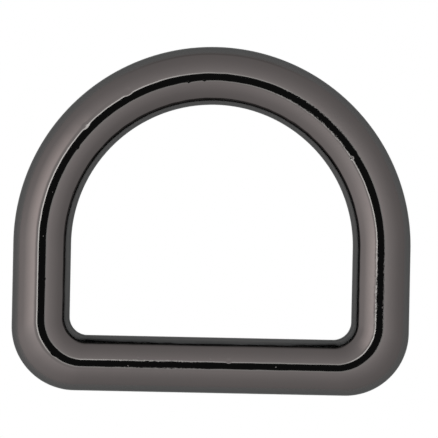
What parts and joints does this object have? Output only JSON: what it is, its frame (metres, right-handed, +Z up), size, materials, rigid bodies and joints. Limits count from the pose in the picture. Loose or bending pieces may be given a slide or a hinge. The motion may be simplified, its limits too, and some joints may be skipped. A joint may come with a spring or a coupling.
{
  "type": "d ring",
  "caption": "Closed metal D ring with a half-round arch, rounded band and a straight bar that a strap loops round; the arch takes a hook, clip or second strap.",
  "frame": {"origin": "on the surface that the ring lies on, under the middle of its box", "axes": "+X along the straight bar, +Y from the bar towards the arch, +Z up through the ring's opening"},
  "size_m": [0.0354, 0.0308, 0.0042],
  "materials": {
    "gunmetal_plating": "polished gunmetal (black nickel) plating on die-cast zinc alloy"
  },
  "bodies": {
    "root": {"d_ring": "gunmetal_plating"}
  },
  "joints": []
}
